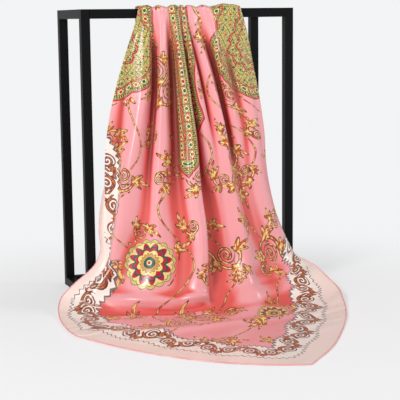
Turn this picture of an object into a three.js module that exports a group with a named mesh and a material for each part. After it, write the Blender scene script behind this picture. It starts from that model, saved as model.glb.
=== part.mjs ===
// Square satin scarf draped over the front top rail of a box-frame stand.
// Millimetres, +Z up, the front of the stand faces -Y.
import * as THREE from "three";

// Stand
const TUBE = 15; // side of the square tube
const TUBE_EDGE = 1; // chamfer along the tube's edges
const STAND_WIDTH = 370;
const STAND_DEPTH = 170;
const STAND_HEIGHT = 483;

// Cloth
const CLOTH = 1.2; // thickness of the cloth wall
const HEM = 1.6; // thickness of the rolled hem
const HEM_WIDTH = 2.5;
const SEAM = 0.3; // space left between neighbouring pieces
const STEPS_BETWEEN_FOLDS = 3;

// The plain form of the cloth, without its folds: a row for each section across it, from the
// end behind the rail to the front hem. Each is a curve through three places, and steps is how
// many strips the cloth is built from between this section and the next.
const SECTIONS = [
  { at: "tail end", left: [101, 21, 416], middle: [180, 23, 412], right: [263, 21, 417], steps: 1 },
  { at: "tail", left: [97, 19.4, 446], middle: [181, 20.2, 446], right: [267, 19.4, 446], steps: 1 },
  { at: "behind rail", left: [95.5, 18.6, 473], middle: [182.5, 18.6, 473], right: [270, 18.6, 473], steps: 1 },
  { at: "back corner", left: [95, 17.2, 485.2], middle: [183, 17.2, 485.2], right: [271, 17.2, 485.2], steps: 1 },
  { at: "rail top", left: [94.8, 7.5, 486.8], middle: [183, 7.5, 486.8], right: [271.5, 7.5, 486.8], steps: 1 },
  { at: "front corner", left: [94.5, -2.2, 485.2], middle: [183, -2.2, 485.2], right: [272, -2.2, 485.2], steps: 1 },
  { at: "rail front", left: [92.8, -3.8, 475], middle: [184, -4.2, 475], right: [275, -3.8, 475], steps: 1 },
  { at: "below rail", left: [87, -4.8, 455], middle: [183.5, -7, 455], right: [280.5, -4.8, 455], steps: 1 },
  { at: "shoulder", left: [76, -5.6, 425], middle: [181.5, -12, 425], right: [287, -5.6, 425], steps: 2 },
  { at: "chest", left: [60.5, -6.6, 380], middle: [178, -19, 380], right: [295, -6.6, 380], steps: 2 },
  { at: "upper", left: [46.3, -7.8, 330], middle: [175, -29, 330], right: [303.5, -7.8, 330], steps: 2 },
  { at: "waist", left: [35, -9, 275], middle: [173, -41, 275], right: [311, -9, 275], steps: 2 },
  { at: "hip", left: [25, -10.2, 220], middle: [169.5, -54, 220], right: [314, -10.2, 220], steps: 2 },
  { at: "lower", left: [18, -11.6, 165], middle: [171, -68, 165], right: [324, -11.6, 165], steps: 2 },
  { at: "knee", left: [15.5, -12.8, 120], middle: [176, -81, 120], right: [338, -12.8, 120], steps: 3 },
  { at: "shin", left: [15, -13.6, 88], middle: [176, -93, 80], right: [366, -14, 70], steps: 3 },
  { at: "flare", left: [-1, -14.6, 62], middle: [168, -104, 46], right: [384, -34, 50], steps: 2 },
  { at: "low flare", left: [-30, -15.2, 38], middle: [160, -113, 25], right: [391, -50, 38], steps: 3 },
  { at: "roll edge", left: [-50, -18, 18], middle: [155, -124, 12], right: [397, -78, 24], steps: 2 },
  { at: "under roll", left: [-58, -35, 8], middle: [151, -132, 6], right: [399, -105, 15], steps: 3 },
  { at: "floor start", left: [-64, -62, 3], middle: [146, -148, 4], right: [386, -150, 8], steps: 4 },
  { at: "floor rise", left: [-68, -95, 1.2], middle: [135, -180, 5.5], right: [368, -198, 4.5], steps: 4 },
  { at: "floor ridge", left: [-70, -128, 0.8], middle: [120, -215, 8], right: [344, -248, 2.5], steps: 4 },
  { at: "floor slope", left: [-70, -155, 0.8], middle: [100, -262, 6], right: [305, -315, 1], steps: 3 },
  { at: "floor low", left: [-68, -175, 0.7], middle: [80, -318, 2.2], right: [258, -385, 0.7], steps: 2 },
  { at: "front hem", left: [-66, -190, 0.6], middle: [52, -366, 0.6], right: [198, -450, 0.6], steps: 1 },
];
const LAST_BEHIND = "behind rail";
const LAST_OVER = "rail front";
const LAST_HANGING = "roll edge";

// The heights at which the fold table gives its values; past the last one the folds run out
// and the cloth lies evenly spread at the front hem.
const LEVELS = ["rail front", "chest", "waist", "lower", "shin", "low flare", "front hem"];
const FLAT_FROM = "floor rise";

// A row for each line running down the cloth. across: where it lies, from 0 at the left side
// to 1 at the right, at the first six levels. out: how far it stands in front of the plain
// form (a ridge) or behind it (a hollow) at the same levels.
const FOLDS = [
  { line: "left hem", across: [0.065, 0.13, 0.07, 0.0, 0, 0.0], out: [-1.9, -6, -8, -10, -6, 0] },
  { line: "left turn", across: [0.0, 0.0, 0.0, 0.03, 0.028, 0.035], out: [0.3, 0, -1, 0, 0, 0] },
  { line: "left dip", across: [0.05, 0.074, 0.079, 0.07, 0.05, 0.06], out: [1.2, 1, -2, -2, -1, 0] },
  { line: "leaf ridge", across: [0.107, 0.18, 0.154, 0.115, 0.078, 0.09], out: [1.8, 8, 11, 15, 12, 7] },
  { line: "left hollow", across: [0.155, 0.245, 0.25, 0.225, 0.15, 0.15], out: [-1.8, -9, -9, -3, -2, -1] },
  { line: "rose ridge", across: [0.209, 0.285, 0.305, 0.29, 0.262, 0.27], out: [1.8, 7, 9, 8, 6, 4] },
  { line: "rose hollow", across: [0.295, 0.375, 0.395, 0.4, 0.386, 0.4], out: [-1.8, -12, -9, -4, -3, -1] },
  { line: "strap ridge", across: [0.34, 0.418, 0.459, 0.468, 0.457, 0.47], out: [1.9, 8, 12, 15, 15, 8] },
  { line: "main edge", across: [0.379, 0.463, 0.505, 0.508, 0.485, 0.507], out: [1.5, 6, 12, 15, 16, 8] },
  { line: "main hollow", across: [0.404, 0.49, 0.535, 0.55, 0.533, 0.545], out: [-1.9, -12, -15, -18, -18, -8] },
  { line: "second strap", across: [0.43, 0.527, 0.585, 0.62, 0.6, 0.6], out: [1.8, 6, -1, -15, -14, -7] },
  { line: "second hollow", across: [0.465, 0.58, 0.645, 0.665, 0.648, 0.645], out: [-1.6, -4, -3, -6, -6, -2] },
  { line: "centre ridge", across: [0.505, 0.62, 0.69, 0.71, 0.69, 0.698], out: [1.8, 8, 8, 9, 9, 5] },
  { line: "centre hollow", across: [0.584, 0.705, 0.761, 0.775, 0.768, 0.755], out: [-1.8, -8, -8, -4, -4, -3] },
  { line: "leaf fold", across: [0.644, 0.735, 0.799, 0.825, 0.825, 0.81], out: [1.8, 5, 0, -8, -9, -7] },
  { line: "leaf hollow", across: [0.714, 0.8, 0.847, 0.874, 0.875, 0.86], out: [-1.2, -3, -2, -5, -6, -4] },
  { line: "right ridge", across: [0.85, 0.906, 0.913, 0.92, 0.927, 0.925], out: [3.6, 6, 8, 7, 6, 2] },
  { line: "right turn", across: [1.0, 1.0, 1.0, 1.0, 0.985, 0.965], out: [0, 0, -1, 0, 1, 0] },
  { line: "right hem", across: [0.935, 0.88, 0.88, 0.93, 1.0, 1.01], out: [-1.9, -7, -11, -11, -9, 0] },
];

// Rolls that lie across the cloth where it meets the floor: a row for each, from one place to
// another. line: a place among the fold lines, 2.5 for halfway from the third to the fourth.
// run: the distance down the cloth. height: up, or down for a trough.
const ROLLS = [
  { roll: "first roll", line: [3.4, 8.8], run: [581, 572], height: 7, width: 9 },
  { roll: "hollow under it", line: [3.6, 9.2], run: [604, 595], height: -6, width: 9 },
  { roll: "right hollow", line: [11.5, 17.6], run: [545, 520], height: -6, width: 15 },
  { roll: "right ridge", line: [10.5, 17.8], run: [583, 566], height: 5, width: 12 },
  { roll: "hollow before the ridge", line: [3.2, 16.5], run: [700, 622], height: -3, width: 15 },
  { roll: "ridge on the floor", line: [3.2, 16.5], run: [752, 655], height: 6, width: 14 },
];

// Looks and colours
const PINK = 0xe79aa6;
const DEEP_PINK = 0xd26f7f;
const BLACK = 0x1b1b1e;

const sectionIndex = (name) => SECTIONS.findIndex((section) => section.at === name);

// A smooth curve through values that stand at uneven places along it.
function smoothThrough(places, values, place) {
  const last = places.length - 1;
  let i = 0;
  while (i < last - 1 && place > places[i + 1]) i += 1;
  const slope = (k) => (values[k + 1] - values[k]) / (places[k + 1] - places[k]);
  const tangent = (k) => {
    if (k === 0) return slope(0);
    if (k === last) return slope(last - 1);
    const before = places[k] - places[k - 1];
    const after = places[k + 1] - places[k];
    return (slope(k - 1) * after + slope(k) * before) / (before + after);
  };
  const span = places[i + 1] - places[i];
  const t = Math.min(1, Math.max(0, (place - places[i]) / span));
  const t2 = t * t;
  const t3 = t2 * t;
  return (
    values[i] * (2 * t3 - 3 * t2 + 1) +
    tangent(i) * span * (t3 - 2 * t2 + t) +
    values[i + 1] * (3 * t2 - 2 * t3) +
    tangent(i + 1) * span * (t3 - t2)
  );
}

// How far down the cloth each section lies, measured along its middle.
const RUNS = [0];
for (let i = 1; i < SECTIONS.length; i += 1) {
  const [from, to] = [SECTIONS[i - 1].middle, SECTIONS[i].middle];
  RUNS.push(RUNS[i - 1] + Math.hypot(to[0] - from[0], to[1] - from[1], to[2] - from[2]));
}
const runAt = (name) => RUNS[sectionIndex(name)];

const coordinate = (key, axis) => SECTIONS.map((section) => section[key][axis]);
const GUIDES = ["left", "middle", "right"].map((key) => [0, 1, 2].map((axis) => coordinate(key, axis)));

// A place on the plain form: across from 0 to 1, run in millimetres down the cloth.
function plainForm(across, run) {
  const [left, middle, right] = GUIDES.map((guide) => guide.map((values) => smoothThrough(RUNS, values, run)));
  const share = [(1 - across) * (1 - 2 * across), 4 * across * (1 - across), across * (2 * across - 1)];
  return new THREE.Vector3(
    ...[0, 1, 2].map((axis) => share[0] * left[axis] + share[1] * middle[axis] + share[2] * right[axis]),
  );
}

// The direction out of the plain form, away from the stand or up from the floor.
function outward(across, run) {
  const end = RUNS[RUNS.length - 1];
  const step = 2;
  const along = plainForm(across, Math.min(end, run + step)).sub(plainForm(across, Math.max(0, run - step)));
  const over = plainForm(across + 0.01, run).sub(plainForm(across - 0.01, run));
  return along.cross(over).normalize();
}

// The lines of the fold table at one distance down the cloth.
function foldLines(run) {
  const levels = LEVELS.map(runAt);
  const place = Math.max(levels[0], run);
  const calm = 1 - THREE.MathUtils.smoothstep(run, runAt("low flare"), runAt(FLAT_FROM));
  const width = plainForm(1, run).distanceTo(plainForm(0, run));
  return FOLDS.map((fold, index) => {
    const even = index / (FOLDS.length - 1);
    const across = smoothThrough(levels, [...fold.across, even], place);
    const out = smoothThrough(levels, [...fold.out, 0], place) * calm;
    return new THREE.Vector2(across * width, out);
  });
}

// How far the rolls lift the cloth at a place among the fold lines and a distance down it.
function rollHeight(line, run) {
  const { lerp, smoothstep } = THREE.MathUtils;
  return ROLLS.reduce((height, roll) => {
    const along = (line - roll.line[0]) / (roll.line[1] - roll.line[0]);
    const fade = smoothstep(along, 0, 0.25) * (1 - smoothstep(along, 0.75, 1));
    const away = (run - lerp(...roll.run, along)) / roll.width;
    return height + roll.height * fade * Math.exp(-away * away);
  }, 0);
}

// The folded section at one distance down the cloth, as places in the frame.
function foldedSection(run) {
  const width = plainForm(1, run).distanceTo(plainForm(0, run));
  const lines = foldLines(run).map((line) => new THREE.Vector3(line.x, line.y, 0));
  const curve = new THREE.CatmullRomCurve3(lines, false, "centripetal");
  const count = STEPS_BETWEEN_FOLDS * (lines.length - 1);
  return Array.from({ length: count + 1 }, (_, i) => {
    const { x, y } = curve.getPoint(i / count);
    const lift = y + rollHeight(i / STEPS_BETWEEN_FOLDS, run);
    const place = plainForm(x / width, run).addScaledVector(outward(x / width, run), lift);
    place.z = Math.max(place.z, CLOTH / 2);
    return place;
  });
}

// Every section of the cloth, and the names of those where one piece ends.
const rows = [];
const rowOf = {};
SECTIONS.forEach((section, i) => {
  rowOf[section.at] = rows.length;
  const last = i === SECTIONS.length - 1;
  for (let step = 0; step < (last ? 1 : section.steps); step += 1) {
    const share = step / section.steps;
    const run = last ? RUNS[i] : THREE.MathUtils.lerp(RUNS[i], RUNS[i + 1], share);
    rows.push(foldedSection(run).map((place) => ({ place })));
  }
});

// The direction out of the folded cloth at each of its places.
rows.forEach((row, i) => {
  row.forEach((node, j) => {
    const above = rows[Math.max(0, i - 1)][j].place;
    const below = rows[Math.min(rows.length - 1, i + 1)][j].place;
    const before = row[Math.max(0, j - 1)].place;
    const after = row[Math.min(row.length - 1, j + 1)].place;
    node.normal = below.clone().sub(above).cross(after.clone().sub(before)).normalize();
  });
});

// The place a given distance from one node toward the next.
function between(from, to, distance) {
  const share = distance / from.place.distanceTo(to.place);
  return {
    place: from.place.clone().lerp(to.place, share),
    normal: from.normal.clone().lerp(to.normal, share).normalize(),
  };
}

// A row with its two ends moved in.
function shorten(row, distance) {
  const last = row.length - 1;
  const first = between(row[0], row[1], distance);
  const end = between(row[last], row[last - 1], distance);
  return [first, ...row.slice(1, last), end];
}

// Rows with the first and last moved in by their own distances.
function trim(grid, atStart, atEnd) {
  const last = grid.length - 1;
  const start = grid[0].map((node, j) => between(node, grid[1][j], atStart));
  const end = grid[last].map((node, j) => between(node, grid[last - 1][j], atEnd));
  return [start, ...grid.slice(1, last), end];
}

// A closed wall on a grid of places, flat on the floor where it rests there.
function wall(name, grid, thickness, colour) {
  const points = [];
  const across = grid[0].length;
  for (const side of [0.5, -0.5]) {
    for (const row of grid) {
      for (const { place, normal } of row) {
        const point = place.clone().addScaledVector(normal, side * thickness);
        const low = place.z - Math.abs(normal.z) * thickness * 0.5;
        if (low < 0.35 && normal.z > 0.5) point.z = side < 0 ? 0 : Math.max(point.z, thickness * 0.95);
        points.push(point);
      }
    }
  }
  const half = grid.length * across;
  const faces = [];
  const quad = (a, b, c, d) => faces.push(a, b, c, a, c, d);
  for (let i = 0; i < grid.length - 1; i += 1) {
    for (let j = 0; j < across - 1; j += 1) {
      const a = i * across + j;
      quad(a, a + across, a + across + 1, a + 1);
      quad(half + a, half + a + 1, half + a + across + 1, half + a + across);
    }
  }
  for (let j = 0; j < across - 1; j += 1) {
    const end = (grid.length - 1) * across + j;
    quad(j, j + 1, half + j + 1, half + j);
    quad(end + 1, end, half + end, half + end + 1);
  }
  for (let i = 0; i < grid.length - 1; i += 1) {
    const a = i * across;
    const b = a + across - 1;
    quad(a + across, a, half + a, half + a + across);
    quad(b, b + across, half + b + across, half + b);
  }
  const geometry = new THREE.BufferGeometry();
  geometry.setAttribute("position", new THREE.Float32BufferAttribute(points.flatMap((p) => p.toArray()), 3));
  geometry.setIndex(faces);
  geometry.computeVertexNormals();
  const material = new THREE.MeshStandardMaterial({ color: colour, roughness: 0.38, metalness: 0 });
  const mesh = new THREE.Mesh(geometry, material);
  mesh.name = name;
  return mesh;
}

// One square tube between two corners of the frame.
function tube(name, corner, size) {
  const axis = size.indexOf(Math.max(...size));
  const half = TUBE / 2;
  const flat = half - TUBE_EDGE;
  const outline = new THREE.Shape();
  const corners = [[half, flat], [flat, half], [-flat, half], [-half, flat]];
  const around = [...corners, ...corners.map(([x, y]) => [-x, -y])];
  around.forEach(([x, y], i) => (i ? outline.lineTo(x, y) : outline.moveTo(x, y)));
  outline.closePath();
  const geometry = new THREE.ExtrudeGeometry(outline, { depth: size[axis], bevelEnabled: false });
  geometry.translate(0, 0, -size[axis] / 2);
  if (axis === 0) geometry.rotateY(Math.PI / 2);
  if (axis === 1) geometry.rotateX(Math.PI / 2);
  geometry.translate(...corner.map((start, i) => start + size[i] / 2));
  const material = new THREE.MeshStandardMaterial({ color: BLACK, roughness: 0.45, metalness: 0.3 });
  const mesh = new THREE.Mesh(geometry, material);
  mesh.name = name;
  return mesh;
}

const part = new THREE.Group();
part.name = "scarf_on_stand";

// The stand: four posts, four top rails and four bottom rails
const sides = { left: 0, right: STAND_WIDTH - TUBE };
const ends = { front: 0, back: STAND_DEPTH - TUBE };
const levels = { bottom: 0, top: STAND_HEIGHT - TUBE };
for (const [end, y] of Object.entries(ends)) {
  for (const [side, x] of Object.entries(sides)) {
    part.add(tube(`post_${end}_${side}`, [x, y, 0], [TUBE, TUBE, STAND_HEIGHT]));
  }
}
for (const [level, z] of Object.entries(levels)) {
  for (const [end, y] of Object.entries(ends)) {
    part.add(tube(`rail_${level}_${end}`, [TUBE, y, z], [STAND_WIDTH - 2 * TUBE, TUBE, TUBE]));
  }
  for (const [side, x] of Object.entries(sides)) {
    part.add(tube(`rail_${level}_${side}`, [x, TUBE, z], [TUBE, STAND_DEPTH - 2 * TUBE, TUBE]));
  }
}

// The cloth, a piece for each stretch of it
const inset = HEM_WIDTH + SEAM;
const stretch = (from, to, atStart, atEnd) =>
  trim(rows.slice(from, to + 1).map((row) => shorten(row, inset)), atStart, atEnd);
const lastRow = rows.length - 1;
const cuts = [0, rowOf[LAST_BEHIND], rowOf[LAST_OVER], rowOf[LAST_HANGING], lastRow];
const names = ["scarf_tail", "scarf_over_rail", "scarf_fall", "scarf_apron"];
names.forEach((name, i) => {
  const atStart = i === 0 ? inset : SEAM / 2;
  const atEnd = i === names.length - 1 ? inset : SEAM / 2;
  part.add(wall(name, stretch(cuts[i], cuts[i + 1], atStart, atEnd), CLOTH, PINK));
});

// The rolled hems on its four edges
const edge = (line, next) => line.map((node, i) => [between(node, next[i], HEM_WIDTH), node]);
const flip = (grid) => grid.map((pair) => [pair[1], pair[0]]);
const column = (j) => rows.map((row) => row[j]);
const lastColumn = rows[0].length - 1;
const turn = (grid) => [0, 1].map((k) => grid.map((pair) => pair[k]));
part.add(wall("hem_left", trim(flip(edge(column(0), column(1))), inset, inset), HEM, DEEP_PINK));
part.add(wall("hem_right", trim(edge(column(lastColumn), column(lastColumn - 1)), inset, inset), HEM, DEEP_PINK));
part.add(wall("hem_front", turn(edge(rows[lastRow], rows[lastRow - 1])), HEM, DEEP_PINK));
part.add(wall("hem_back", turn(flip(edge(rows[0], rows[1]))), HEM, DEEP_PINK));

// The frame's origin is under the middle of the whole
const box = new THREE.Box3().setFromObject(part);
for (const mesh of part.children) {
  mesh.geometry.translate(-(box.min.x + box.max.x) / 2, -(box.min.y + box.max.y) / 2, -box.min.z);
}

export default part;
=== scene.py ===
"""A square satin scarf gathered over the front top rail of a box-frame stand."""
import math

import bpy
import numpy as np
from mathutils import Matrix, Vector


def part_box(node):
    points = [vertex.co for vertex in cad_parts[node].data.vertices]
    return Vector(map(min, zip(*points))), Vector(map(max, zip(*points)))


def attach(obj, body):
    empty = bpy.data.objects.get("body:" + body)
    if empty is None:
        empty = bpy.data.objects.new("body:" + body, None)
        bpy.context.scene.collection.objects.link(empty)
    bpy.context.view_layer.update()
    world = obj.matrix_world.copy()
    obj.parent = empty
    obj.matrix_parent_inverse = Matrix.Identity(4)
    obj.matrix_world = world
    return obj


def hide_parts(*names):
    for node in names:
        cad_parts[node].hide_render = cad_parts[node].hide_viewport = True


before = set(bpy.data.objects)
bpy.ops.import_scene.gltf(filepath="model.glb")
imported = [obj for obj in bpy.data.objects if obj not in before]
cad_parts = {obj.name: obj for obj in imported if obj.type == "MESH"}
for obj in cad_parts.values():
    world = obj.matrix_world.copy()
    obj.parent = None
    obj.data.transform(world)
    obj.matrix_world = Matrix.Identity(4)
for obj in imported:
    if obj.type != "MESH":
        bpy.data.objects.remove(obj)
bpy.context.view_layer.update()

# The cloth's tables are in millimetres from the foot of the stand's front left post.
MM = 0.001
STAND_CORNER = np.array(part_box("post_front_left")[0])

# Cloth
CLOTH = 0.5  # thickness of the shell that stands for the satin
RAIL_GAP = 0.9  # least distance of the cloth's middle from the front of the rail
FLOOR_GAP = 0.3  # lowest height of the cloth's middle above the floor
FOLD_STEPS = 10  # columns of the grid from one fold line to the next
ROW_SPACING = 3.6
HEM_RADIUS = 1.1
HEM_STEP = 1.2  # spacing of the rings along the hem

# The plain form of the cloth: for each section across it, from behind the rail to the front
# hem, its places at the left, middle and right
SECTIONS = {
    "tail end": ((101, 21, 416), (180, 23, 412), (263, 21, 417)),
    "tail": ((97, 19.4, 446), (181, 20.2, 446), (267, 19.4, 446)),
    "behind rail": ((95.5, 18.6, 473), (182.5, 18.6, 473), (270, 18.6, 473)),
    "back corner": ((95, 17.2, 485.2), (183, 17.2, 485.2), (271, 17.2, 485.2)),
    "rail top": ((94.8, 7.5, 486.8), (183, 7.5, 486.8), (271.5, 7.5, 486.8)),
    "front corner": ((94.5, -2.2, 485.2), (183, -2.2, 485.2), (272, -2.2, 485.2)),
    "rail front": ((92.8, -3.8, 475), (184, -4.2, 475), (275, -3.8, 475)),
    "below rail": ((87, -4.8, 455), (183.5, -7, 455), (280.5, -4.8, 455)),
    "shoulder": ((76, -5.6, 425), (181.5, -12, 425), (287, -5.6, 425)),
    "chest": ((60.5, -6.6, 380), (178, -19, 380), (295, -6.6, 380)),
    "upper": ((46.3, -7.8, 330), (175, -29, 330), (303.5, -7.8, 330)),
    "waist": ((35, -9, 275), (173, -41, 275), (311, -9, 275)),
    "hip": ((25, -10.2, 220), (169.5, -54, 220), (314, -10.2, 220)),
    "lower": ((18, -11.6, 165), (171, -68, 165), (324, -11.6, 165)),
    "knee": ((15.5, -12.8, 120), (176, -81, 120), (338, -12.8, 120)),
    "shin": ((15, -13.6, 88), (176, -93, 80), (366, -14, 70)),
    "flare": ((-1, -14.6, 62), (168, -104, 46), (384, -34, 50)),
    "low flare": ((-30, -15.2, 38), (160, -113, 25), (391, -50, 38)),
    "roll edge": ((-50, -18, 18), (155, -124, 12), (397, -78, 24)),
    "under roll": ((-58, -35, 8), (151, -132, 6), (399, -105, 15)),
    "floor start": ((-64, -62, 3), (146, -148, 4), (386, -150, 8)),
    "floor rise": ((-68, -95, 1.2), (135, -180, 5.5), (368, -198, 4.5)),
    "floor ridge": ((-70, -128, 0.8), (120, -215, 8), (344, -248, 2.5)),
    "floor slope": ((-70, -155, 0.8), (100, -262, 6), (305, -315, 1)),
    "floor low": ((-68, -175, 0.7), (80, -318, 2.2), (258, -385, 0.7)),
    "front hem": ((-66, -190, 0.6), (52, -366, 0.6), (198, -450, 0.6)),
}

# Where the fold table gives its values; at the last the cloth lies flat and evenly spread
LEVELS = ["rail front", "chest", "waist", "lower", "shin", "low flare", "front hem"]
FLAT_FROM = "floor rise"

# For each line running down the cloth, at the first six levels: where it lies, from 0 at the
# left to 1 at the right; how far it stands out from the plain form; and how much cloth is
# tucked away there, which breaks the print
NONE = (0, 0, 0, 0, 0, 0)
FOLDS = {
    "left hem": ((0.065, 0.13, 0.07, 0.0, 0, 0.0), (-1.9, -6, -8, -10, -6, 0), (0, 0, 0, 0, 8, 14)),
    "left turn": ((0.0, 0.0, 0.0, 0.03, 0.028, 0.035), (0.3, 0, -1, 0, 0, 0), (110, 88, 55, 34, 0, 0)),
    "left dip": ((0.05, 0.074, 0.079, 0.07, 0.05, 0.06), (1.2, 1, -2, -2, -1, 0), (0, 0, 0, 4, 45, 8)),
    "leaf ridge": ((0.107, 0.18, 0.154, 0.115, 0.078, 0.09), (1.8, 8, 11, 15, 12, 7), NONE),
    "left hollow": ((0.155, 0.245, 0.25, 0.225, 0.15, 0.15), (-1.8, -9, -9, -3, -2, -1),
        (24, 12, 0, 0, 0, 0)),
    "rose ridge": ((0.209, 0.285, 0.305, 0.29, 0.262, 0.27), (1.8, 7, 9, 8, 6, 4), NONE),
    "rose hollow": ((0.295, 0.375, 0.395, 0.4, 0.386, 0.4), (-1.8, -12, -9, -4, -3, -1),
        (30, 22, 4, 0, 0, 0)),
    "strap ridge": ((0.34, 0.418, 0.459, 0.468, 0.457, 0.47), (1.9, 8, 12, 15, 15, 8), NONE),
    "main edge": ((0.379, 0.463, 0.505, 0.508, 0.485, 0.507), (1.5, 6, 12, 15, 16, 8), NONE),
    "main hollow": ((0.404, 0.49, 0.535, 0.55, 0.533, 0.545), (-1.9, -12, -15, -18, -18, -8),
        (44, 34, 14, 2, 0, 0)),
    "second strap": ((0.43, 0.527, 0.585, 0.62, 0.6, 0.6), (1.8, 6, -1, -15, -14, -7), NONE),
    "second hollow": ((0.465, 0.58, 0.645, 0.665, 0.648, 0.645), (-1.6, -4, -3, -6, -6, -2),
        (20, 10, 0, 0, 0, 0)),
    "centre ridge": ((0.505, 0.62, 0.69, 0.71, 0.69, 0.698), (1.8, 8, 8, 9, 9, 5), NONE),
    "centre hollow": ((0.584, 0.705, 0.761, 0.775, 0.768, 0.755), (-1.8, -8, -8, -4, -4, -3),
        (30, 16, 2, 0, 0, 0)),
    "leaf fold": ((0.644, 0.735, 0.799, 0.825, 0.825, 0.81), (1.8, 5, 0, -8, -9, -7), NONE),
    "leaf hollow": ((0.714, 0.8, 0.847, 0.874, 0.875, 0.86), (-1.2, -3, -2, -5, -6, -4),
        (20, 10, 0, 0, 0, 0)),
    "right ridge": ((0.85, 0.906, 0.913, 0.92, 0.927, 0.925), (3.6, 6, 8, 7, 6, 2), NONE),
    "right turn": ((1.0, 1.0, 1.0, 1.0, 0.985, 0.965), (0, 0, -1, 0, 1, 0), (90, 85, 85, 85, 50, 4)),
    "right hem": ((0.935, 0.88, 0.88, 0.93, 1.0, 1.01), (-1.9, -7, -11, -11, -9, 0), NONE),
}

# Creases down the cloth: the line and the run that each starts at, those it ends at, its
# height and its width. Line 2.5 is halfway between the third and the fourth fold line, and a
# run is a distance down the cloth.
CREASES = [
    (1.5, 98, 1.6, 230, -2.2, 3), (2.4, 96, 2.8, 240, 1.2, 3.5), (3.4, 98, 3.4, 220, -2.8, 3),
    (4.0, 98, 4.1, 360, -5, 6.5), (4.6, 98, 4.5, 200, -2.4, 2.5), (5.4, 98, 5.6, 260, 1.6, 3.5),
    (6.1, 98, 6.0, 390, -5, 6.5), (6.7, 98, 6.6, 210, -2.6, 3), (7.5, 98, 7.5, 260, -1.8, 3),
    (8.75, 118, 8.7, 560, -11, 6), (9.6, 98, 9.6, 220, -2.2, 3), (10.8, 98, 10.9, 340, -5.5, 4.5),
    (11.6, 96, 11.5, 230, 1.4, 3.5), (12.5, 98, 12.6, 320, -1.6, 4), (13.0, 98, 13.0, 380, -5.5, 6),
    (14.1, 98, 14.0, 240, -2.4, 3.5), (15.4, 98, 15.3, 440, -4, 5.5), (16.4, 120, 16.5, 420, -1.6, 6),
    (1.9, 150, 2.0, 420, -3, 5), (4.5, 250, 4.2, 470, 1.2, 6), (5.6, 300, 5.3, 520, -1.4, 7),
    (6.6, 280, 6.4, 560, 1.6, 7), (7.4, 300, 7.2, 590, 1.2, 5), (10.6, 330, 10.4, 560, 1.6, 7),
    (11.8, 340, 11.6, 570, -1.4, 7), (13.5, 300, 13.3, 540, -1.4, 8), (14.6, 380, 14.2, 560, 1.3, 8),
    (15.8, 380, 15.2, 600, -1.2, 9), (2.6, 200, 2.3, 480, -1.6, 5), (3.2, 180, 3.1, 420, 1.3, 4),
    (5.2, 180, 4.9, 440, -1.8, 4), (7.1, 200, 6.9, 540, -1.6, 4), (9.3, 220, 9.3, 460, -1.5, 4),
    (12.2, 220, 11.9, 480, 1.5, 5), (13.9, 200, 13.7, 450, -2.2, 4.5), (16.9, 180, 17.0, 460, 1.6, 6),
]
# Rolls and buckles that lie across the cloth where it meets the floor
ROLLS = [
    (3.4, 581, 8.8, 572, 8, 8), (3.6, 602, 9.2, 593, -7, 8), (3.8, 597, 9.0, 588, -4, 4),
    (11.5, 545, 17.6, 520, -6, 15), (10.5, 583, 17.8, 566, 5, 12), (3.2, 700, 16.5, 622, -3, 15),
    (3.2, 752, 16.5, 655, 6, 14), (-0.5, 828, 4.0, 705, 1.6, 8), (12.5, 790, 18.5, 700, 1.8, 12),
    (13.0, 590, 18.5, 560, 2.0, 10), (14.2, 655, 18.8, 600, 1.8, 6), (14.0, 690, 18.9, 640, -1.8, 7),
    (13.6, 742, 18.8, 672, 1.4, 6), (-0.6, 700, 3.6, 640, 1.6, 7), (-0.6, 752, 3.2, 676, -1.4, 6),
    (4.0, 800, 10.5, 770, 1.2, 7),
]
CREASE_FULL = (0.3, 0.6)  # the shares of its length between which one is at its full height
ROLL_FULL = (0.25, 0.75)
GATHERS = 0.28  # height of the fine gathers near the rail, and the runs they lie between
GATHERED_FROM = (40, 90)
GATHERED_UNTIL = (110, 210)
SLACK = 0.5  # height of the soft waves lower down
SLACK_FROM = (200, 320)


def smooth_through(places, values, place):
    """A smooth curve through values that stand at uneven places along it."""
    last = len(places) - 1
    i = 0
    while i < last - 1 and place > places[i + 1]:
        i += 1

    def slope(k):
        return (values[k + 1] - values[k]) / (places[k + 1] - places[k])

    def tangent(k):
        if k == 0:
            return slope(0)
        if k == last:
            return slope(last - 1)
        before = places[k] - places[k - 1]
        after = places[k + 1] - places[k]
        return (slope(k - 1) * after + slope(k) * before) / (before + after)

    span = places[i + 1] - places[i]
    t = min(1, max(0, (place - places[i]) / span))
    t2 = t * t
    t3 = t2 * t
    return (
        values[i] * (2 * t3 - 3 * t2 + 1)
        + tangent(i) * span * (t3 - 2 * t2 + t)
        + values[i + 1] * (3 * t2 - 2 * t3)
        + tangent(i + 1) * span * (t3 - t2)
    )


def ease(value, low, high):
    """From 0 at low to 1 at high, smoothly."""
    t = np.clip((value - low) / (high - low), 0, 1)
    return t * t * (3 - 2 * t)


def lengths(points):
    """The distances between neighbouring points along the last axis but one."""
    return np.linalg.norm(np.diff(points, axis=-2), axis=-1)


def marks_of(line):
    """How far along a line of points each of them lies."""
    return np.concatenate([[0], np.cumsum(lengths(line))])


def unit(vectors):
    """Directions at a length of one."""
    return vectors / np.linalg.norm(vectors, axis=-1, keepdims=True)


GUIDES = np.array(list(SECTIONS.values()), float)
RUNS = marks_of(GUIDES[:, 1])
RUN_AT = dict(zip(SECTIONS, RUNS))
LEVEL_RUNS = [RUN_AT[level] for level in LEVELS]


def plain_form(across, run):
    """Places on the plain form: across from 0 to 1, run in millimetres down the cloth."""
    left, middle, right = smooth_through(RUNS, GUIDES, run)
    across = np.asarray(across, float)[..., None]
    return (
        (1 - across) * (1 - 2 * across) * left
        + 4 * across * (1 - across) * middle
        + across * (2 * across - 1) * right
    )


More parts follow.
